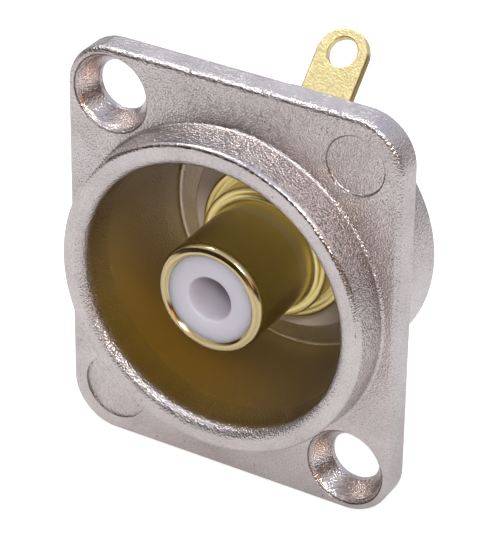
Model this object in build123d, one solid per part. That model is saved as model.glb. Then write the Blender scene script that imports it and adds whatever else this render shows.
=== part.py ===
"""Phono panel socket on a rectangular flange, in millimetres.

The part stands as it does on its panel: +X to the right and +Z up as seen from the front, and the
plug leaves along -Y. The origin is the centre of the flange's rear face, which lies on the panel.
Depths are places along Y: they are negative in front of the panel and positive behind it.
"""

import os
from math import cos, pi, radians, sin, tan

from build123d import *

# Housing: flange
flange_width = 26.0
flange_height = 31.0
flange_thickness = 2.0
flange_corner_radius = 3.5
flange_edge_rounding = 0.4

# Housing: screw holes, on one diagonal of the flange
hole_from_edge = 3.5
hole_diameter = 3.8
hole_land = 0.4
countersink_diameter = 6.0
countersink_rim_bevel = 0.3

# Housing: the two shallow round fields, on the other diagonal
upper_field_diameter = 4.5
lower_field_diameter = 5.1
lower_field_inset = 0.2
field_depth = 0.15

# Housing: collar in front of the flange, and cup behind it
collar_diameter = 24.0
collar_draft = 0.2
collar_height = 2.9
mouth_to_collar = 0.856
collar_edge_rounding = 0.35
collar_root_fillet = 0.25
mouth_rounding = 0.8
cup_draft = 0.45
cup_wall = 1.1
cup_floor_depth = 7.2
cup_floor_fillet = 0.3
cup_floor_thickness = 1.0
cup_rear_rounding = 0.3

# Outer contact: barrel for the plug's shell, bead ring, flange and threaded shank
barrel_diameter = 8.3
barrel_length = 7.35
barrel_wall = 0.85
barrel_lip_rounding = 0.6
lip_inner_bevel = 0.2
barrel_root_fillet = 0.25
bead_step = 0.85
bead_length = 1.8
bead_rounding = 0.2
contact_flange_beyond_nut = 0.18
contact_flange_thickness = 1.75
contact_flange_bevel = 0.15
shank_diameter = 8.0
shank_wall = 1.3
shank_end_beyond_nut = 2.2
shank_end_bevel = 0.4
shank_plain_length = 0.6
thread_pitch = 0.75
thread_depth = 0.4

# Insulating pieces
washer_beyond_flange = 1.7
front_washer_thickness = 1.0
washer_edge_bevel = 0.12
bush_flange_diameter = 14.0
bush_flange_thickness = 1.0
bush_sleeve_diameter = 10.0
bush_sleeve_end_gap = 0.1
insulator_recess = 0.15
insulator_wall = 0.6
insulator_shoulder_depth = 5.0
insulator_tail = 0.6
pin_hole_clearance = 0.17
pin_hole_length = 4.0
pin_hole_bevel = 0.1

# Centre contact
leaf_thickness = 0.54
bore_relief = 0.2
contact_bore_length = 10.2
contact_entry_bevel = 0.25
contact_slot_width = 0.35
contact_slot_length = 7.5
contact_slot_count = 4
contact_slot_turn = 45.0
barb_height = 0.04
barb_length = 0.5
barb_from_end = 1.5
solder_cup_shoulder = 0.64
solder_cup_wall = 0.55
solder_cup_length = 4.0
solder_cup_bore_depth = 3.6
solder_cup_open_length = 2.4
drill_point_angle = 30.0

# Solder tag, bent from sheet
tag_sheet = 0.6
tag_ring_inside_flange = 0.15
tag_width = 4.0
tag_hole_diameter = 2.25
tag_bend_angle = 45.0
tag_bend_inner_radius = 0.4
tag_bend_height = 6.4
tag_eye_from_bend = 5.45
tag_hole_from_bend = 5.6
tag_edge_rounding = 0.1

# Nut
nut_wall = 1.0
nut_thickness = 2.0
nut_chamfer_angle = 30.0

# Clearances
sliding_clearance = 0.1
seat_clearance = 0.02
thread_clearance = 0.04

# Places of the screw holes
hole_spacing_x = flange_width - 2 * hole_from_edge
hole_spacing_z = flange_height - 2 * hole_from_edge

# Diameters of the cup, from the collar inwards and back out through its wall
collar_front_diameter = collar_diameter - 2 * collar_draft
mouth_diameter = collar_front_diameter * mouth_to_collar
cup_floor_diameter = mouth_diameter - 2 * cup_draft
cup_body_diameter = cup_floor_diameter + 2 * cup_wall

# Diameters that follow the shank: the nut on it, and the flanges that cover the nut
nut_across_flats = shank_diameter + 2 * nut_wall
nut_across_corners = nut_across_flats / cos(pi / 6)
contact_flange_diameter = nut_across_corners + 2 * contact_flange_beyond_nut
tag_ring_diameter = contact_flange_diameter - 2 * tag_ring_inside_flange
front_washer_diameter = contact_flange_diameter + 2 * washer_beyond_flange

# Diameters inside the shank, from its bore inwards to the pin
insulator_rear_diameter = shank_diameter - 2 * shank_wall
contact_chamber = insulator_rear_diameter - 2 * insulator_wall
contact_diameter = contact_chamber - 2 * (barb_height + seat_clearance)
contact_bore = contact_diameter - 2 * leaf_thickness
contact_relief_bore = contact_bore + 2 * bore_relief
pin_hole_diameter = contact_bore + 2 * pin_hole_clearance
solder_cup_diameter = contact_diameter - 2 * solder_cup_shoulder
solder_cup_bore = solder_cup_diameter - 2 * solder_cup_wall

# Diameters that follow the barrel
barrel_bore = barrel_diameter - 2 * barrel_wall
bead_diameter = barrel_diameter + 2 * bead_step

# Depths of the stack, from the cup floor outwards
cup_rear = cup_floor_depth + cup_floor_thickness
contact_flange_rear = cup_floor_depth - front_washer_thickness
contact_flange_front = contact_flange_rear - contact_flange_thickness
bead_front = contact_flange_front - bead_length
barrel_tip = bead_front - barrel_length
collar_front = -flange_thickness - collar_height
bush_rear = cup_rear + bush_flange_thickness
tag_rear = bush_rear + tag_sheet
nut_rear = tag_rear + nut_thickness
shank_end = nut_rear + shank_end_beyond_nut
insulator_front = barrel_tip + insulator_recess
insulator_rear = shank_end + insulator_tail
chamber_front = insulator_front + pin_hole_length
contact_front = chamber_front
solder_cup_end = insulator_rear + solder_cup_length

# Bores that follow the piece that goes through them
shank_hole = shank_diameter + 2 * sliding_clearance
floor_hole = bush_sleeve_diameter + 2 * sliding_clearance


def turned(corners):
    """A solid turned about the Y axis from corners given as (diameter, depth, rounding)."""
    points = [(diameter / 2, depth) for diameter, depth, _ in corners]
    roundings = [rounding for _, _, rounding in corners]
    with BuildPart() as piece:
        with BuildSketch(Plane.XY):
            with BuildLine():
                FilletPolyline(*points, radius=roundings, close=True)
            make_face()
        revolve(axis=Axis.Y, revolution_arc=360)
    return piece.part


def drilled(diameter, front, rear, x=0.0, z=0.0):
    """A round cutter along Y between two depths."""
    cutter = turned([(0, front, 0), (diameter, front, 0), (diameter, rear, 0), (0, rear, 0)])
    return Pos(x, 0, z) * cutter


def plate(sketch_part, front, thickness):
    """A flat plate drawn as seen from the front, with its front face at the given depth."""
    drawn = Location((0, front + thickness, 0), (90, 0, 0)) * sketch_part
    return extrude(drawn, amount=thickness, dir=(0, -1, 0))


def flange_plate():
    outline = RectangleRounded(flange_width, flange_height, flange_corner_radius)
    blank = plate(outline, -flange_thickness, flange_thickness)
    front_face = blank.faces().sort_by(Axis.Y)[0]
    return fillet(front_face.edges(), flange_edge_rounding)


def collar_and_cup():
    """The turned form of the housing: collar in front of the panel, cup body behind it."""
    return turned(
        [
            (mouth_diameter, collar_front, mouth_rounding),
            (collar_front_diameter, collar_front, collar_edge_rounding),
            (collar_diameter, -flange_thickness, 0),
            (cup_body_diameter, -flange_thickness, 0),
            (cup_body_diameter, cup_rear, cup_rear_rounding),
            (floor_hole, cup_rear, 0),
            (floor_hole, cup_floor_depth, 0),
            (cup_floor_diameter, cup_floor_depth, cup_floor_fillet),
        ]
    )


def cup_space():
    """All that the housing's turned form encloses, to clear the flange plate from it."""
    return turned(
        [
            (0, collar_front, 0),
            (mouth_diameter, collar_front, 0),
            (cup_floor_diameter, cup_floor_depth, 0),
            (0, cup_floor_depth, 0),
        ]
    )


def screw_hole(x, z):
    """A countersunk hole: a narrow bevel at the rim, a long cone and a short straight land."""
    rim_depth = -flange_thickness + countersink_rim_bevel
    cone_top = countersink_diameter - 2 * countersink_rim_bevel
    cutter = turned(
        [
            (0, -flange_thickness - 1, 0),
            (countersink_diameter, -flange_thickness - 1, 0),
            (countersink_diameter, -flange_thickness, 0),
            (cone_top, rim_depth, 0),
            (hole_diameter, -hole_land, 0),
            (hole_diameter, 1, 0),
            (0, 1, 0),
        ]
    )
    return Pos(x, 0, z) * cutter


def round_fields():
    """Cutters for the two shallow fields, the upper with a sloped rim, clear of the collar's root."""
    half_x = hole_spacing_x / 2
    half_z = hole_spacing_z / 2
    front = -flange_thickness - field_depth
    floor = -flange_thickness + field_depth
    wide = upper_field_diameter + 2 * field_depth
    narrow = upper_field_diameter - 2 * field_depth
    sloped = turned([(0, front, 0), (wide, front, 0), (narrow, floor, 0), (0, floor, 0)])
    upper = Pos(half_x, 0, half_z) * sloped
    inset = lower_field_inset
    lower = drilled(lower_field_diameter, front, floor, inset - half_x, inset - half_z)
    root = drilled(collar_diameter + 2 * collar_root_fillet, front, floor)
    return upper - root, lower - root


def housing():
    """One casting: flange, collar and cup, with the screw holes and the two round fields."""
    casting = flange_plate() - cup_space() + collar_and_cup()
    in_front = casting.edges().filter_by(GeomType.CIRCLE).filter_by(
        lambda edge: abs(edge.arc_center.Y + flange_thickness) < 0.001
    )
    casting = fillet(in_front.sort_by(SortBy.RADIUS)[-1], collar_root_fillet)
    half_x = hole_spacing_x / 2
    half_z = hole_spacing_z / 2
    casting -= screw_hole(-half_x, half_z)
    casting -= screw_hole(half_x, -half_z)
    for field in round_fields():
        casting -= field
    return casting


def thread_outline(diameter, start, end):
    """Corners of a thread's section: V grooves of the pitch, cut into a straight outer line."""
    root = diameter - 2 * thread_depth
    flat = thread_pitch / 8
    corners = []
    count = int((end - start - flat) // thread_pitch)
    for turn in range(count):
        crest = start + turn * thread_pitch
        corners.append((diameter, crest, 0))
        corners.append((diameter, crest + flat, 0))
        corners.append((root, crest + thread_pitch / 2, 0))
    corners.append((diameter, start + count * thread_pitch, 0))
    return corners


def outer_contact():
    """Barrel, bead ring, flange and threaded shank, turned in one piece with a stepped bore."""
    thread_start = contact_flange_rear + shank_plain_length
    thread_end = shank_end - shank_end_bevel
    shank_tip = shank_diameter - 2 * shank_end_bevel
    rear_bore = insulator_rear_diameter + 2 * seat_clearance
    lip = barrel_bore + 2 * lip_inner_bevel
    flange_rim = contact_flange_diameter - 2 * contact_flange_bevel
    corners = [
        (lip, barrel_tip, 0),
        (barrel_diameter, barrel_tip, barrel_lip_rounding),
        (barrel_diameter, bead_front, barrel_root_fillet),
        (bead_diameter, bead_front, bead_rounding),
        (bead_diameter, contact_flange_front, 0),
        (flange_rim, contact_flange_front, 0),
        (contact_flange_diameter, contact_flange_front + contact_flange_bevel, 0),
        (contact_flange_diameter, contact_flange_rear, 0),
        (shank_diameter, contact_flange_rear, 0),
        *thread_outline(shank_diameter, thread_start, thread_end),
        (shank_diameter, thread_end, 0),
        (shank_tip, shank_end, 0),
        (rear_bore, shank_end, 0),
        (rear_bore, insulator_shoulder_depth, 0),
        (barrel_bore, insulator_shoulder_depth, 0),
        (barrel_bore, barrel_tip + lip_inner_bevel, 0),
    ]
    return turned(corners)


def insulator():
    """The white insert: it goes in from the front and seats on the step of the barrel's bore."""
    front = barrel_bore - 2 * seat_clearance
    mouth = pin_hole_diameter + 2 * pin_hole_bevel
    return turned(
        [
            (mouth, insulator_front, 0),
            (front, insulator_front, 0),
            (front, insulator_shoulder_depth, 0),
            (insulator_rear_diameter, insulator_shoulder_depth, 0),
            (insulator_rear_diameter, insulator_rear, 0),
            (contact_chamber, insulator_rear, 0),
            (contact_chamber, chamber_front, 0),
            (pin_hole_diameter, chamber_front, 0),
            (pin_hole_diameter, insulator_front + pin_hole_bevel, 0),
        ]
    )


def contact_body():
    """The turned form of the centre contact: its leaves grip, and behind them the bore widens."""
    bore_end = contact_front + contact_bore_length
    leaf_end = contact_front + contact_slot_length
    barb_rear = insulator_rear - barb_from_end
    barb = contact_diameter + 2 * barb_height
    entry = contact_bore + 2 * contact_entry_bevel
    drill_point = bore_end + contact_relief_bore / 2 * tan(radians(drill_point_angle))
    return turned(
        [
            (entry, contact_front, 0),
            (contact_diameter, contact_front, 0),
            (contact_diameter, barb_rear - barb_length, 0),
            (barb, barb_rear, 0),
            (contact_diameter, barb_rear, 0),
            (contact_diameter, insulator_rear, 0),
            (solder_cup_diameter, insulator_rear, 0),
            (solder_cup_diameter, solder_cup_end, 0),
            (0, solder_cup_end, 0),
            (0, drill_point, 0),
            (contact_relief_bore, bore_end, 0),
            (contact_relief_bore, leaf_end, 0),
            (contact_bore, leaf_end, 0),
            (contact_bore, contact_front + contact_entry_bevel, 0),
        ]
    )


def solder_cup_drilling():
    """The drilling of the solder cup, with the cone that the drill leaves at its bottom."""
    cup_bottom = solder_cup_end - solder_cup_bore_depth
    drill_point = cup_bottom - solder_cup_bore / 2 * tan(radians(drill_point_angle))
    return turned(
        [
            (0, solder_cup_end, 0),
            (solder_cup_bore, solder_cup_end, 0),
            (solder_cup_bore, cup_bottom, 0),
            (0, drill_point, 0),
        ]
    )


def centre_contact():
    """Spring socket with slotted leaves in front and an open solder cup behind."""
    piece = contact_body()
    slot_centre = contact_front + contact_slot_length / 2
    slot = Box(contact_diameter, contact_slot_length, contact_slot_width)
    slot = Pos(contact_diameter / 2, slot_centre, 0) * slot
    for turn in range(contact_slot_count):
        angle = contact_slot_turn + turn * 360 / contact_slot_count
        piece -= Rot(0, angle, 0) * slot
    piece -= solder_cup_drilling()
    opening = Box(solder_cup_diameter, solder_cup_open_length, solder_cup_diameter / 2)
    opening_centre = solder_cup_end - solder_cup_open_length / 2
    return piece - Pos(0, opening_centre, solder_cup_diameter / 4) * opening


def front_washer():
    """Insulating washer between the outer contact's flange and the cup floor."""
    rim = front_washer_diameter - 2 * washer_edge_bevel
    return turned(
        [
            (shank_hole, contact_flange_rear, 0),
            (rim, contact_flange_rear, 0),
            (front_washer_diameter, contact_flange_rear + washer_edge_bevel, 0),
            (front_washer_diameter, cup_floor_depth, 0),
            (shank_hole, cup_floor_depth, 0),
        ]
    )


def rear_bush():
    """Insulating bush: a flange on the cup's rear face and a sleeve through the floor's hole."""
    sleeve_end = cup_floor_depth + bush_sleeve_end_gap
    return turned(
        [
            (shank_hole, sleeve_end, 0),
            (bush_sleeve_diameter, sleeve_end, 0),
            (bush_sleeve_diameter, cup_rear, 0),
            (bush_flange_diameter, cup_rear, 0),
            (bush_flange_diameter, bush_rear, washer_edge_bevel),
            (shank_hole, bush_rear, 0),
        ]
    )


def tag_bend():
    """The bent stretch: the sheet turned about a line behind it, and the place where it ends."""
    angle = radians(tag_bend_angle)
    outer = tag_bend_inner_radius + tag_sheet
    centre_depth = tag_rear + tag_bend_inner_radius
    sheet_end = Plane.XY.offset(tag_bend_height) * Pos(0, bush_rear + tag_sheet / 2) * Rectangle(
        tag_width, tag_sheet
    )
    axis = Axis((0, centre_depth, tag_bend_height), (-1, 0, 0))
    bent = revolve(sheet_end, axis=axis, revolution_arc=tag_bend_angle)
    end_depth = centre_depth - outer * cos(angle)
    end_height = tag_bend_height + outer * sin(angle)
    return bent, end_depth, end_height


def solder_tag():
    """Ring on the shank, and a lug that bends backwards and ends round about its wire hole."""
    ring = Circle(tag_ring_diameter / 2)
    lug = Pos(0, tag_bend_height / 2) * Rectangle(tag_width, tag_bend_height)
    flat = plate(ring + lug - Circle(shank_hole / 2), bush_rear, tag_sheet)
    bent, end_depth, end_height = tag_bend()
    angle = radians(tag_bend_angle)
    outwards = Vector(0, -cos(angle), sin(angle))
    blade_plane = Plane(origin=(0, end_depth, end_height), x_dir=(1, 0, 0), z_dir=outwards)
    stem = Pos(0, tag_eye_from_bend / 2) * Rectangle(tag_width, tag_eye_from_bend)
    eye = Pos(0, tag_eye_from_bend) * Circle(tag_width / 2)
    hole = Pos(0, tag_hole_from_bend) * Circle(tag_hole_diameter / 2)
    blade = extrude(blade_plane * (stem + eye - hole), amount=-tag_sheet)
    punched_face = blade.faces().sort_by(Axis((0, 0, 0), outwards))[-1]
    punched_edges = punched_face.edges().filter_by(
        lambda edge: edge.geom_type == GeomType.CIRCLE or abs(edge.tangent_at(0).X) < 0.001
    )
    return flat + bent + fillet(punched_edges, tag_edge_rounding)


def hex_nut():
    """Thin hexagon nut, chamfered on its rear face, with the shank's thread in its bore."""
    blank = plate(RegularPolygon(nut_across_corners / 2, 6), tag_rear, nut_thickness)
    chamfer_width = (nut_across_corners - nut_across_flats) / 2
    chamfer_depth = chamfer_width * tan(radians(nut_chamfer_angle))
    cone = turned(
        [
            (0, tag_rear, 0),
            (nut_across_corners, tag_rear, 0),
            (nut_across_corners, nut_rear - chamfer_depth, 0),
            (nut_across_flats, nut_rear, 0),
            (0, nut_rear, 0),
        ]
    )
    thread_start = contact_flange_rear + shank_plain_length
    bore = shank_diameter + 2 * thread_clearance
    corners = thread_outline(bore, thread_start, shank_end)
    first = corners[0][1]
    last = corners[-1][1]
    tap = turned([(0, first, 0), *corners, (0, last, 0)])
    return (blank & cone) - tap


PIECES = {
    "housing": housing,
    "outer_contact": outer_contact,
    "insulator": insulator,
    "centre_contact": centre_contact,
    "front_washer": front_washer,
    "rear_bush": rear_bush,
    "solder_tag": solder_tag,
    "hex_nut": hex_nut,
}

os.makedirs("parts", exist_ok=True)
for name, build in PIECES.items():
    solid = build()
    export_step(solid, f"parts/{name}.step")
    print(f"{name}: {solid.volume:.1f} mm3")
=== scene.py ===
# %% [markdown]
# # A phono panel socket, dressed in Blender
#
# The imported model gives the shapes: a nickel-plated casting, a gold-plated barrel with its white
# insert, a solder tag and the small pieces behind the cup. This lesson keeps those shapes and
# gives each piece the finish of the real one, with the grain, scratches and lines that are too
# fine for solids. Then it sets up the camera, the table and the lamps of a small product studio.

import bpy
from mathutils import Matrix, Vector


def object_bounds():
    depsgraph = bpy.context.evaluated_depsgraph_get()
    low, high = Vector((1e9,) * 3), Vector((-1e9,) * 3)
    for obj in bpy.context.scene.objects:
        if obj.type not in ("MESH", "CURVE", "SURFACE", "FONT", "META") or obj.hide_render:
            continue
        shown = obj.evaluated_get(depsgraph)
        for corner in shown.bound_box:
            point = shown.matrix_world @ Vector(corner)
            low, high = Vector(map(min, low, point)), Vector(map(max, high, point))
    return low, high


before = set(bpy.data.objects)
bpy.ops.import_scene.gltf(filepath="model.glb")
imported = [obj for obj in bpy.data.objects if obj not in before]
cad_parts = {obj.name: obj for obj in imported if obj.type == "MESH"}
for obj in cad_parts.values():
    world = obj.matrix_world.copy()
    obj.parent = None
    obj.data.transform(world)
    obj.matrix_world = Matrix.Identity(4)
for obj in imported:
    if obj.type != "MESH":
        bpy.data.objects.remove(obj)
cad_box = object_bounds()
print("CAD nodes:", ", ".join(sorted(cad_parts)))

# %% Modules and units
from math import cos, radians, sin

import bpy
from mathutils import Matrix, Vector

mm = 0.001


# %% [markdown]
# ## The camera
#
# The photograph looks at the socket from the front, from the right and from above, from about
# twenty centimetres away. A camera can be aimed by hand, or its place can be worked out from
# angles. Here the angles are written down, because they were measured from the edges of the
# flange, and so the render can be laid over the photograph.

# %% Camera
CAMERA_TURN = radians(30.07)
CAMERA_RISE = radians(31.44)
CAMERA_ROLL = radians(0.83)
CAMERA_DISTANCE = 204.64 * mm
CAMERA_ASIDE = 0.46 * mm
CAMERA_UP = 0.04 * mm
CAMERA_LENS = 197.4

towards_camera = Vector(
    (
        sin(CAMERA_TURN) * cos(CAMERA_RISE),
        -cos(CAMERA_TURN) * cos(CAMERA_RISE),
        sin(CAMERA_RISE),
    )
)
level_right = Vector((cos(CAMERA_TURN), sin(CAMERA_TURN), 0.0))
level_up = towards_camera.cross(level_right)
camera_place = (
    towards_camera * CAMERA_DISTANCE + level_right * CAMERA_ASIDE + level_up * CAMERA_UP
)
camera_right = level_right * cos(CAMERA_ROLL) + level_up * sin(CAMERA_ROLL)
camera_up = level_up * cos(CAMERA_ROLL) - level_right * sin(CAMERA_ROLL)
camera_axes = Matrix((camera_right, camera_up, towards_camera)).transposed()

bpy.ops.object.camera_add(location=camera_place, rotation=camera_axes.to_euler())
camera = bpy.context.object
camera.name = "photo_camera"
camera.data.lens = CAMERA_LENS
camera.data.sensor_width = 36.0
camera.data.clip_start = 10 * mm
camera.data.clip_end = 5.0
bpy.context.scene.camera = camera
print("camera at", [round(c * 1000, 1) for c in camera.location], "mm")


# %% [markdown]
# ## Colours and nodes
#
# Shader sockets want linear light, and people write colours as sRGB hex. One function turns one
# into the other. A second function adds a node, sets it up and links it, so that each material
# reads as a short list of what its surface has.

# %% Colour and node helpers
def linear(hex_colour):
    """An sRGB hex colour as linear red, green, blue and an alpha of 1."""
    shares = [int(hex_colour[i : i + 2], 16) / 255 for i in (1, 3, 5)]
    return tuple(c / 12.92 if c <= 0.04045 else ((c + 0.055) / 1.055) ** 2.4 for c in shares) + (1,)


def node(material, kind, settings=None, links=None):
    """Adds a node; settings are properties, sockets or a ramp's stops, and links end in sockets."""
    made = material.node_tree.nodes.new(kind)
    for name, value in (settings or {}).items():
        if name == "stops":
            ramp = made.color_ramp
            while len(ramp.elements) < len(value):
                ramp.elements.new(1.0)
            for element, (place, colour) in zip(ramp.elements, value):
                element.position = place
                element.color = linear(colour)
        elif isinstance(name, int) or name in made.inputs.keys():
            made.inputs[name].default_value = value
        else:
            setattr(made, name, value)
    for name, output in (links or {}).items():
        material.node_tree.links.new(output, made.inputs[name])
    return made


def new_material(name):
    """An empty node material with its output, and its object coordinates in metres."""
    material = bpy.data.materials.new(name)
    material.use_nodes = True
    material.node_tree.nodes.clear()
    place = node(material, "ShaderNodeTexCoord").outputs["Object"]
    output = node(material, "ShaderNodeOutputMaterial")
    return material, place, output


def finish(material, output, surface):
    """Links a shader to the material's output."""
    material.node_tree.links.new(surface.outputs[0], output.inputs["Surface"])
    return material


def wear(node_name, material):
    """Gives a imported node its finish."""
    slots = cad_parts[node_name].material_slots
    for slot in slots:
        slot.material = material
    print(f"{node_name}: {material.name}")


# %% [markdown]
# ## The casting: where its surface differs
#
# The housing is a zinc die casting that is blasted with fine beads and plated with nickel, and
# some parts of it differ. The beads hardly reached the cup, so it has less grain. Its wall is
# painted warmer low on the left, as a painted reflection of the gold barrel and the warm light.
# The collar's side stood square to the beads and has the deepest dents, whose floors are painted
# dark as shade and whose rims are painted light as sparkle. The screw cones were cut after the
# blasting, and the collar's front rim is rubbed by plugs. The edges of the screw cones and of the
# two round fields hold a thin line of painted shade.
#
# Such parts could be painted or split off as pieces. Here each gets a mask, a value from 0 to 1,
# because the casting is one piece of turned and drilled shapes. A mask is the product of soft
# steps in three measures: the distance from the axis, the depth behind the panel's face, and the
# distance from the nearest screw hole or round field.

# %% Parts of the casting
# The screw holes and the round fields stand at the four corners of this rectangle.
CORNER = (9.5 * mm, 0.0, 12.0 * mm)
# Each step is a measure, the place in mm where its mask is 0, and the place where it is 1.
CUP = (("radius", 10.5, 10.4), ("depth", 7.8, 7.5))
FIELD_OR_HOLE = ("corner", 3.06, 3.04)
CASTING_PARTS = {
    "sheltered cup": CUP + (("depth", -4.1, -1.0),),
    # Where the cup's wall gets its painted reflection: a warm tint standing in for the gold barrel.
    "cup wall painted reflection": CUP + (("depth", -4.2, -3.8), ("radius", 9.5, 9.62)),
    "screw cone": (FIELD_OR_HOLE, ("depth", -1.85, -1.75)),
    # A thin line of painted shade at the edges of the screw cones and the round fields.
    "painted shade line": (FIELD_OR_HOLE, ("depth", -1.995, -1.985), ("depth", -1.88, -1.9)),
    "rubbed rim": (("radius", 10.75, 10.95), ("depth", -4.3, -4.5)),
    # The collar's side: deeper dents, with painted shade in their floors and painted sparkle on
    # their rims.
    "collar side": (("radius", 11.3, 11.5), ("depth", -2.2, -2.4), ("depth", -4.62, -4.5)),
}


def casting_masks(material, place):
    """A mask for each part of the casting: the product of its soft steps."""
    axes = node(material, "ShaderNodeSeparateXYZ", {}, {"Vector": place})
    sideways = node(
        material,
        "ShaderNodeVectorMath",
        {"operation": "MULTIPLY", 1: (1.0, 0.0, 1.0)},
        {0: place},
    ).outputs["Vector"]
    one_quarter = node(
        material, "ShaderNodeVectorMath", {"operation": "ABSOLUTE"}, {0: sideways}
    ).outputs["Vector"]
    measures = {
        "radius": node(
            material, "ShaderNodeVectorMath", {"operation": "LENGTH"}, {0: sideways}
        ).outputs["Value"],
        "depth": axes.outputs["Y"],
        "corner": node(
            material, "ShaderNodeVectorMath", {"operation": "DISTANCE", 1: CORNER}, {0: one_quarter}
        ).outputs["Value"],
    }
    masks = {}
    for part, steps in CASTING_PARTS.items():
        for measure, start, end in steps:
            step = node(
                material,
                "ShaderNodeMapRange",
                {"From Min": start * mm, "From Max": end * mm},
                {"Value": measures[measure]},
            ).outputs["Result"]
            if part in masks:
                step = node(
                    material, "ShaderNodeMath", {"operation": "MULTIPLY"}, {0: masks[part], 1: step}
                ).outputs["Value"]
            masks[part] = step
    return masks


print("parts of the casting:", ", ".join(CASTING_PARTS))


# %% [markdown]
# ## The casting: its grain
#
# The nickel is bright metal over a surface of tiny dents. Far from a lamp's reflection that reads
# as an even warm grey, and where a rounded edge turns through the reflection, single dents flash
# white beside dark ones. A plain rougher metal would blur those flashes away, so here the metal
# stays fairly smooth, and the dents are a bump: cells a sixth of a millimetre across, with a finer
# noise in them. That is a little coarser than the beads leave them, so that they show.

# %% Grain of the casting
DENT = 0.16 * mm
DENT_DEPTH = 0.068 * mm
DUST = 0.09 * mm
DUST_SHARE = 0.45
GRAIN_CHANGE = {
    "sheltered cup": -0.4,
    "screw cone": -0.5,
    "rubbed rim": -0.45,
    "collar side": 0.45,
}


def casting_grain(material, place, masks):
    """The dents, the finer noise, and the bump that they make together."""
    dents = node(
        material,
        "ShaderNodeTexVoronoi",
        {"Scale": 1 / DENT},
        {"Vector": place},
    )
    dust = node(
        material,
        "ShaderNodeTexNoise",
        {"Scale": 1 / DUST, "Detail": 2.0, "Roughness": 0.6},
        {"Vector": place},
    )
    surface = node(
        material,
        "ShaderNodeMix",
        {"Factor": DUST_SHARE},
        {"A": dents.outputs["Distance"], "B": dust.outputs["Fac"]},
    )
    grain_share = {}
    for part, change in GRAIN_CHANGE.items():
        changed = node(
            material,
            "ShaderNodeMath",
            {"operation": "MULTIPLY_ADD", 1: change, 2: 1.0},
            {0: masks[part], **grain_share},
        )
        grain_share = {2: changed.outputs["Value"]}
    grain = node(
        material,
        "ShaderNodeBump",
        {"Distance": DENT_DEPTH},
        {"Height": surface.outputs["Result"], "Strength": grain_share[2]},
    )
    return dents.outputs["Distance"], dust.outputs["Fac"], grain.outputs["Normal"]


print(f"dents {DENT * 1000:.2f} mm across, bump {DENT_DEPTH * 1000:.3f} mm high")


# %% [markdown]
# ## The casting: its tone
#
# Plated zinc isn't one grey. Clouds of a few millimetres and the fine noise vary it softly. Small
# pores hold a darker film. On the collar's side the floors of the deep dents are painted darker as
# shade and their rims lighter as sparkle, and the edges of the screw cones and round fields carry a
# thin line of painted shade. All of these are one number from dark to bright, which a ramp turns
# into the metal's colour. The cup's wall has a ramp of its own, from a warm tone low on the left to
# a cool one on the right. It is a painted reflection, of the gold barrel and of the way a metal's
# tint deepens with each reflection inside a cup.

# %% Tone of the casting
CLOUD = 3.0 * mm
PORE_SPACING = 0.9 * mm
# Distances from a cell's middle, in cells: a pore is dark up to the first and clear from the
# second, and a dent has its floor within the third and its rim beyond the fourth.
PORE_DARK, PORE_CLEAR = 0.03, 0.09
DENT_FLOOR, DENT_RIM = 0.15, 0.5
# On the collar's side the dents' floors are painted dark as shade and their rims light as sparkle.
DENT_FLOOR_SHADE, DENT_RIM_SPARKLE = 0.0, 1.3
# How dark the painted shade line at the edges of the screw cones and round fields is.
SHADE_LINE_BRIGHTNESS = 0.25
FINE_SHARE = 0.6
CASTING_TONES = ((0.0, "#6a615c"), (0.38, "#c6bdb8"), (0.62, "#dfd7d3"))
# The cup wall's painted reflection: warm low on the left, from the gold barrel, and cool on the
# right.
CUP_REFLECTION_TONES = ((0.0, "#c5b688"), (0.45, "#b0a896"), (1.0, "#e4e7ec"))
# The direction from the warm side of the cup's painted reflection to the cool one, and where the
# tint starts and ends.
COOL_SIDE = (0.6, 0.0, 0.8)
WARM_END, COOL_END = -9 * mm, 3 * mm
PATCHES = 0.4


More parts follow.
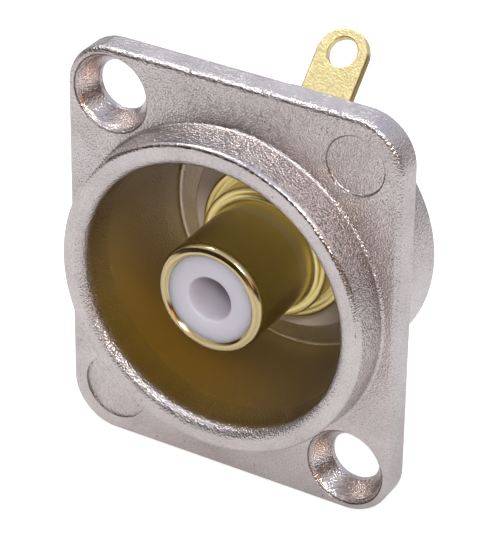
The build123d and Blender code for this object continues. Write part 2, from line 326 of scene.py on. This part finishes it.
def casting_tone(material, place, masks, dents, dust):
    """Plated zinc from clouds and pores, with painted dent shade and sparkle, painted shade lines
    and the cup's painted reflection.
    """
    clouds = node(
        material,
        "ShaderNodeTexNoise",
        {"Scale": 1 / CLOUD, "Detail": 3.0},
        {"Vector": place},
    )
    mottle = node(
        material,
        "ShaderNodeMix",
        {"Factor": FINE_SHARE},
        {"A": clouds.outputs["Fac"], "B": dust},
    )
    pores = node(
        material,
        "ShaderNodeTexVoronoi",
        {"Scale": 1 / PORE_SPACING},
        {"Vector": place},
    )
    outside_pores = node(
        material,
        "ShaderNodeMapRange",
        {"From Min": PORE_DARK, "From Max": PORE_CLEAR},
        {"Value": pores.outputs["Distance"]},
    )
    no_pores_in_cup = node(
        material,
        "ShaderNodeMath",
        {"operation": "MAXIMUM"},
        {0: outside_pores.outputs["Result"], 1: masks["sheltered cup"]},
    )
    clean = node(
        material,
        "ShaderNodeMath",
        {"operation": "MULTIPLY"},
        {0: mottle.outputs["Result"], 1: no_pores_in_cup.outputs["Value"]},
    )
    dent_tones = node(
        material,
        "ShaderNodeMapRange",
        {
            "From Min": DENT_FLOOR,
            "From Max": DENT_RIM,
            "To Min": DENT_FLOOR_SHADE,
            "To Max": DENT_RIM_SPARKLE,
        },
        {"Value": dents},
    )
    # On the collar's side: painted shade in the dents' floors and painted sparkle on their rims.
    painted_dent_shade_and_sparkle = node(
        material,
        "ShaderNodeMix",
        {"A": 1.0},
        {"Factor": masks["collar side"], "B": dent_tones.outputs["Result"]},
    )
    with_dent_shade_and_sparkle = node(
        material,
        "ShaderNodeMath",
        {"operation": "MULTIPLY"},
        {0: clean.outputs["Value"], 1: painted_dent_shade_and_sparkle.outputs["Result"]},
    )
    # Painted shade: a thin darker line at the edges of the screw cones and round fields.
    painted_line_shade = node(
        material,
        "ShaderNodeMapRange",
        {"To Min": 1.0, "To Max": SHADE_LINE_BRIGHTNESS},
        {"Value": masks["painted shade line"]},
    )
    brightness = node(
        material,
        "ShaderNodeMath",
        {"operation": "MULTIPLY"},
        {0: with_dent_shade_and_sparkle.outputs["Value"], 1: painted_line_shade.outputs["Result"]},
    )
    tone = node(
        material, "ShaderNodeValToRGB", {"stops": CASTING_TONES}, {"Fac": brightness.outputs[0]}
    )
    # The cup's wall: a painted reflection of the gold barrel, warm low on the left and cool on the
    # right.
    towards_cool_side = node(
        material,
        "ShaderNodeVectorMath",
        {"operation": "DOT_PRODUCT", 1: COOL_SIDE},
        {0: place},
    )
    coolness = node(
        material,
        "ShaderNodeMapRange",
        {
            "From Min": WARM_END,
            "From Max": COOL_END,
            "To Min": -PATCHES / 2,
            "To Max": 1 - PATCHES / 2,
        },
        {"Value": towards_cool_side.outputs["Value"]},
    )
    patchy = node(
        material,
        "ShaderNodeMath",
        {"operation": "MULTIPLY_ADD", 1: PATCHES},
        {0: mottle.outputs["Result"], 2: coolness.outputs["Result"]},
    )
    cup_reflection = node(
        material, "ShaderNodeValToRGB", {"stops": CUP_REFLECTION_TONES}, {"Fac": patchy.outputs["Value"]}
    )
    colour = node(
        material,
        "ShaderNodeMixRGB",
        {},
        {
            "Fac": masks["cup wall painted reflection"],
            "Color1": tone.outputs["Color"],
            "Color2": cup_reflection.outputs["Color"],
        },
    )
    return colour.outputs["Color"]


print(f"clouds {CLOUD * 1000:.0f} mm wide, pores {PORE_SPACING * 1000:.1f} mm apart")


# %% [markdown]
# ## The casting: satin nickel
#
# Now the masks, the grain and the tone meet in one metal. The plating is nearly as smooth on the
# inside as outside, but the cup's wall kept the die's own dullness, so it is a little rougher.

# %% Satin nickel
OUTSIDE_ROUGHNESS, CUP_ROUGHNESS = 0.2, 0.3


def satin_nickel():
    """Nickel over a blasted zinc casting."""
    material, place, output = new_material("satin_nickel_casting")
    masks = casting_masks(material, place)
    dents, dust, normal = casting_grain(material, place, masks)
    colour = casting_tone(material, place, masks, dents, dust)
    softness = node(
        material,
        "ShaderNodeMapRange",
        {"To Min": OUTSIDE_ROUGHNESS, "To Max": CUP_ROUGHNESS},
        {"Value": masks["sheltered cup"]},
    )
    metal = node(
        material,
        "ShaderNodeBsdfPrincipled",
        {"Metallic": 1.0},
        {"Base Color": colour, "Roughness": softness.outputs["Result"], "Normal": normal},
    )
    return finish(material, output, metal)


wear("housing", satin_nickel())


# %% [markdown]
# ## The nut
#
# The nut is turned from brass bar and plated with the same nickel, but nobody blasts a nut. It is
# brighter than the casting and almost smooth, with a faint unevenness of the plating.

# %% Bright nickel
NUT_TONES = ((0.3, "#c4bcb4"), (0.7, "#dcd4cc"))
NUT_PATCH = 0.3 * mm
NUT_UNEVENNESS = 0.006 * mm


def bright_nickel():
    """Nickel over turned brass, with a faint unevenness."""
    material, place, output = new_material("bright_nickel_nut")
    plating = node(
        material,
        "ShaderNodeTexNoise",
        {"Scale": 1 / NUT_PATCH, "Detail": 4.0},
        {"Vector": place},
    )
    bump = node(
        material,
        "ShaderNodeBump",
        {"Distance": NUT_UNEVENNESS},
        {"Height": plating.outputs["Fac"]},
    )
    tone = node(
        material,
        "ShaderNodeValToRGB",
        {"stops": NUT_TONES},
        {"Fac": plating.outputs["Fac"]},
    )
    metal = node(
        material,
        "ShaderNodeBsdfPrincipled",
        {"Metallic": 1.0, "Roughness": OUTSIDE_ROUGHNESS},
        {"Base Color": tone.outputs["Color"], "Normal": bump.outputs["Normal"]},
    )
    return finish(material, output, metal)


wear("hex_nut", bright_nickel())


# %% [markdown]
# ## The gold-plated barrel
#
# The outer contact is turned from brass and plated with thin bright gold. The lathe leaves rings
# about a third of a millimetre apart on its flat faces. They only need the distance from the
# axis, so one wave texture makes them, as a bump and as a slightly darker line. The gold's tone
# and gloss change along the axis: a polished lip, a deeper and softer gold on the long barrel, and
# paler gold on the bead and the flange. Those tones are painted light: the deeper gold is painted
# shade for the barrel inside the cup, and the paler gold is a painted lit tone on the lip, the bead
# and the flange.

# %% Turned gold
# A wave texture repeats 20 / (2 pi) times in a unit, so this unit puts the rings 0.35 mm apart.
RING_UNIT = 1.1 * mm
RING_HEIGHT = 0.016 * mm
# The ramp of tones runs between these two depths, and the lip ends at a share of that stretch.
GOLD_FRONT, GOLD_REAR = -5 * mm, 5 * mm
LIP_END, BARREL_START = 0.07, 0.1
LIP_ROUGHNESS = 0.15
HAZE = 0.1
HAZE_PATCH = 0.8 * mm


def turned_gold(name, stops, roughness):
    """Gold over turned brass; the stops give its tone along the axis."""
    material, place, output = new_material(name)
    depth = node(material, "ShaderNodeSeparateXYZ", {}, {"Vector": place})
    along = node(
        material,
        "ShaderNodeMapRange",
        {"From Min": GOLD_FRONT, "From Max": GOLD_REAR},
        {"Value": depth.outputs["Y"]},
    ).outputs["Result"]
    tone = node(material, "ShaderNodeValToRGB", {"stops": stops}, {"Fac": along})
    rings = node(
        material,
        "ShaderNodeTexWave",
        {
            "wave_type": "RINGS",
            "rings_direction": "Y",
            "Scale": 1 / RING_UNIT,
            "Distortion": 1.5,
            "Detail": 2.0,
        },
        {"Vector": place},
    )
    haze = node(
        material,
        "ShaderNodeTexNoise",
        {"Scale": 1 / HAZE_PATCH, "Detail": 4.0},
        {"Vector": place},
    )
    ring_bump = node(
        material,
        "ShaderNodeBump",
        {"Strength": 0.8, "Distance": RING_HEIGHT},
        {"Height": rings.outputs["Fac"]},
    )
    lined = node(
        material,
        "ShaderNodeMixRGB",
        {"blend_type": "MULTIPLY", "Fac": 0.18},
        {"Color1": tone.outputs["Color"], "Color2": rings.outputs["Color"]},
    )
    past_lip = node(
        material,
        "ShaderNodeMapRange",
        {
            "From Min": LIP_END,
            "From Max": BARREL_START,
            "To Min": LIP_ROUGHNESS,
            "To Max": roughness - HAZE / 2,
        },
        {"Value": along},
    )
    softness = node(
        material,
        "ShaderNodeMath",
        {"operation": "MULTIPLY_ADD", 1: HAZE},
        {0: haze.outputs["Fac"], 2: past_lip.outputs["Result"]},
    )
    metal = node(
        material,
        "ShaderNodeBsdfPrincipled",
        {"Metallic": 1.0},
        {
            "Base Color": lined.outputs["Color"],
            "Roughness": softness.outputs["Value"],
            "Normal": ring_bump.outputs["Normal"],
        },
    )
    return finish(material, output, metal)


# Along the barrel the gold is painted light: deeper for the shaded barrel, paler for the lit lip
# and bead. PALE_GOLD is also the centre contact's own gold.
PALE_GOLD = "#fde99f"
SHADED_BARREL_GOLD = "#ffe279"
LIT_LIP_GOLD = "#d8c493"
BARREL_GOLD_PAINTED_LIGHT = ((0.06, LIT_LIP_GOLD), (0.08, SHADED_BARREL_GOLD), (0.57, SHADED_BARREL_GOLD), (0.59, PALE_GOLD))
CONTACT_GOLD = ((0.0, PALE_GOLD), (1.0, PALE_GOLD))
wear("outer_contact", turned_gold("turned_gold", BARREL_GOLD_PAINTED_LIGHT, 0.3))
wear("centre_contact", turned_gold("spring_gold", CONTACT_GOLD, 0.26))


# %% [markdown]
# ## The solder tag
#
# The tag is punched from brass sheet, bent, and plated with the same gold. The rolled sheet keeps
# a fine grain of scratches that runs aslant over it, so its gold is paler and softer than the
# barrel's. The gold is darker along its two cut edges.

# %% Rolled gold sheet
TAG_HALF_WIDTH = 2.0 * mm
DARK_EDGE_FROM = TAG_HALF_WIDTH - 0.12 * mm
DARK_EDGE_TO = TAG_HALF_WIDTH - 0.04 * mm
DARK_EDGE_GOLD = "#8f7a3c"
TAG_TONES = ((0.35, "#d8c27e"), (0.6, "#f2e3ac"))
SCRATCH_WIDTH = 0.08 * mm
SCRATCH_STRETCH = 4.0
SCRATCH_SLANT = radians(20)
SCRATCH_DEPTH = 0.02 * mm


def rolled_gold():
    """Gold over rolled brass sheet, with aslant scratches and darker cut edges."""
    material, place, output = new_material("rolled_gold_sheet")
    turned = node(
        material,
        "ShaderNodeMapping",
        {
            "vector_type": "TEXTURE",
            "Rotation": (0.0, SCRATCH_SLANT, 0.0),
            "Scale": (SCRATCH_STRETCH, 1.0, 1.0),
        },
        {"Vector": place},
    )
    scratches = node(
        material,
        "ShaderNodeTexNoise",
        {"Scale": 1 / SCRATCH_WIDTH, "Detail": 3.0, "Roughness": 0.6},
        {"Vector": turned.outputs["Vector"]},
    )
    bump = node(
        material,
        "ShaderNodeBump",
        {"Strength": 1.0, "Distance": SCRATCH_DEPTH},
        {"Height": scratches.outputs["Fac"]},
    )
    sheet = node(
        material,
        "ShaderNodeValToRGB",
        {"stops": TAG_TONES},
        {"Fac": scratches.outputs["Fac"]},
    )
    axes = node(material, "ShaderNodeSeparateXYZ", {}, {"Vector": place})
    aside = node(material, "ShaderNodeMath", {"operation": "ABSOLUTE"}, {0: axes.outputs["X"]})
    cut_edge = node(
        material,
        "ShaderNodeMapRange",
        {"From Min": DARK_EDGE_FROM, "From Max": DARK_EDGE_TO},
        {"Value": aside.outputs["Value"]},
    )
    tone = node(
        material,
        "ShaderNodeMixRGB",
        {"Color2": linear(DARK_EDGE_GOLD)},
        {"Fac": cut_edge.outputs["Result"], "Color1": sheet.outputs["Color"]},
    )
    metal = node(
        material,
        "ShaderNodeBsdfPrincipled",
        {"Metallic": 1.0, "Roughness": 0.28},
        {"Base Color": tone.outputs["Color"], "Normal": bump.outputs["Normal"]},
    )
    return finish(material, output, metal)


wear("solder_tag", rolled_gold())


# %% [markdown]
# ## The insulating pieces
#
# The insert is moulded in white nylon. Nylon lets a little light in, so its edges look soft, and a
# short subsurface scatter gives that. The washer is the same plastic without pigment, a warm pale
# grey, and the bush behind the cup is black.

# %% Moulded nylon
NYLON_IOR = 1.53
MOULD_MARK = 0.3 * mm
MOULD_MARK_HEIGHT = 0.01 * mm


def nylon(name, colour, roughness, depth):
    """Moulded nylon; light goes in as deep as depth, and not at all where that is 0."""
    material, place, output = new_material(name)
    skin = node(
        material,
        "ShaderNodeTexNoise",
        {"Scale": 1 / MOULD_MARK, "Detail": 3.0},
        {"Vector": place},
    )
    bump = node(
        material,
        "ShaderNodeBump",
        {"Strength": 0.25, "Distance": MOULD_MARK_HEIGHT},
        {"Height": skin.outputs["Fac"]},
    )
    plastic = node(
        material,
        "ShaderNodeBsdfPrincipled",
        {
            "Base Color": linear(colour),
            "Roughness": roughness,
            "IOR": NYLON_IOR,
            "Subsurface Weight": 1.0 if depth else 0.0,
            "Subsurface Scale": depth,
            "Subsurface Radius": (1.0, 0.9, 0.8),
        },
        {"Normal": bump.outputs["Normal"]},
    )
    return finish(material, output, plastic)


wear("insulator", nylon("white_nylon", "#eee8f0", 0.42, 2.0 * mm))
wear("front_washer", nylon("natural_nylon", "#e4d3c6", 0.45, 0.0))
wear("rear_bush", nylon("black_nylon", "#1b1b1c", 0.4, 0.0))


# %% [markdown]
# ## The table
#
# Polished metal shows the room more than its own colour, so the room matters as much as the
# material. The socket stands on white paper, on a darker bench. The paper's edge is what draws the
# dark line beside each bright one on the rounded edges, because a rounding mirrors the paper, its
# edge and the room one after the other. The camera sees white all over, through Light Path, and
# the object's shadow stays on the paper.

# %% Table
PAPER_MIDDLE = (-60 * mm, 0.0, 0.0)
PAPER_EDGE = 170 * mm
PAPER_FADE = 40 * mm
PAPER, BENCH = "#cecccb", "#4b3a2d"
MIRRORED_GLOW = 0.22
SEEN_GLOW = 0.75
TABLE_GAP = 0.02 * mm
TABLE_SIZE = 6.0


def pale_table():
    """White paper round the socket on a darker bench; the camera sees white all over."""
    material, place, output = new_material("pale_table")
    reach = node(
        material, "ShaderNodeVectorMath", {"operation": "DISTANCE", 1: PAPER_MIDDLE}, {0: place}
    )
    away = node(
        material,
        "ShaderNodeMapRange",
        {"From Min": PAPER_EDGE, "From Max": PAPER_EDGE + PAPER_FADE},
        {"Value": reach.outputs["Value"]},
    ).outputs["Result"]
    tone = node(
        material,
        "ShaderNodeValToRGB",
        {"stops": ((0.0, PAPER), (1.0, BENCH))},
        {"Fac": away},
    )
    glow = node(
        material, "ShaderNodeMapRange", {"To Min": MIRRORED_GLOW, "To Max": 0.0}, {"Value": away}
    ).outputs["Result"]
    whiteness = node(
        material, "ShaderNodeMapRange", {"To Min": SEEN_GLOW, "To Max": 1.0}, {"Value": away}
    ).outputs["Result"]
    path = node(material, "ShaderNodeLightPath")
    paper = node(material, "ShaderNodeBsdfDiffuse", {}, {"Color": tone.outputs["Color"]})
    shine = node(material, "ShaderNodeEmission", {}, {"Strength": glow})
    mirrored = node(material, "ShaderNodeAddShader", {}, {0: paper.outputs[0], 1: shine.outputs[0]})
    white = node(material, "ShaderNodeEmission", {}, {"Strength": whiteness})
    seen = node(material, "ShaderNodeAddShader", {}, {0: paper.outputs[0], 1: white.outputs[0]})
    metal_view = node(
        material,
        "ShaderNodeMath",
        {"operation": "MAXIMUM"},
        {0: path.outputs["Is Glossy Ray"], 1: path.outputs["Is Transmission Ray"]},
    )
    for_metal = node(
        material,
        "ShaderNodeMixShader",
        {},
        {0: metal_view.outputs[0], 1: paper.outputs[0], 2: mirrored.outputs[0]},
    )
    surface = node(
        material,
        "ShaderNodeMixShader",
        {},
        {0: path.outputs["Is Camera Ray"], 1: for_metal.outputs[0], 2: seen.outputs[0]},
    )
    return finish(material, output, surface)


bpy.ops.object.select_all(action="DESELECT")
table_top = cad_box[0][2] - TABLE_GAP
bpy.ops.mesh.primitive_plane_add(size=TABLE_SIZE, location=(0, 0, table_top))
table = bpy.context.object
table.name = "table"
table.data.materials.append(pale_table())
print("table top at", round(table_top * 1000, 2), "mm")


# %% [markdown]
# ## The lamps
#
# A small product studio has a few soft boxes. The one high on the left draws the bright lines on
# the upper edges, the one over the camera lights the faces and the cup, a weak one behind lights
# the rims, and a weak warm one on the right leaves the orange streaks in the screw cones.

# %% Lamps
# Each lamp: its direction from the socket, its size in metres, its power in watts, its colour.
LAMP_DISTANCE = 0.5
LAMPS = {
    "high_left": ((-0.43, -0.02, 0.9), 0.1, 0.8, "#ffffff"),
    "behind_above": ((-0.35, 0.6, 0.78), 0.05, 0.12, "#ffffff"),
    "over_the_camera": ((0.41, -0.67, 0.62), 0.07, 0.78, "#ffffff"),
    "warm_from_the_right": ((0.7, -0.65, 0.29), 0.1, 0.13, "#d98a4a"),
}

for name, (direction, size, power, colour) in LAMPS.items():
    direction = Vector(direction).normalized()
    bpy.ops.object.light_add(
        type="AREA",
        location=direction * LAMP_DISTANCE,
        rotation=direction.to_track_quat("Z", "Y").to_euler(),
    )
    lamp = bpy.context.object
    lamp.name = name
    lamp.data.size = size
    lamp.data.energy = power
    lamp.data.color = linear(colour)[:3]
    print(f"{name}: {power} W, {size * 1000:.0f} mm wide")


# %% [markdown]
# ## The air
#
# The rest of the room is the world. An even grey would make the metal look like putty, so the
# world is pale overhead and behind the socket, and dark and brown in front of it, where the
# photographer stands. The camera sees white instead.

# %% Air
AIR_TONES = ((0.1, "#33291f"), (0.27, "#5c5652"), (0.42, "#e6e4e6"), (0.8, "#d2d8ee"))


def studio_air():
    """A room that is pale overhead and behind the socket, and dark in front of it."""
    world = bpy.data.worlds.new("studio_air")
    world.use_nodes = True
    bpy.context.scene.world = world
    background = world.node_tree.nodes["Background"]
    direction = node(world, "ShaderNodeTexCoord").outputs["Generated"]
    pale_side = node(
        world,
        "ShaderNodeVectorMath",
        {"operation": "DOT_PRODUCT", 1: (0.0, 0.35, 1.0)},
        {0: direction},
    )
    shade = node(
        world,
        "ShaderNodeValToRGB",
        {"stops": AIR_TONES},
        {"Fac": pale_side.outputs["Value"]},
    )
    path = node(world, "ShaderNodeLightPath")
    lit = node(
        world,
        "ShaderNodeMixRGB",
        {"Color2": linear("#ffffff")},
        {"Fac": path.outputs["Is Camera Ray"], "Color1": shade.outputs["Color"]},
    )
    world.node_tree.links.new(lit.outputs["Color"], background.inputs["Color"])
    print("air:", world.name)


studio_air()
bpy.context.scene.view_settings.view_transform = "Standard"
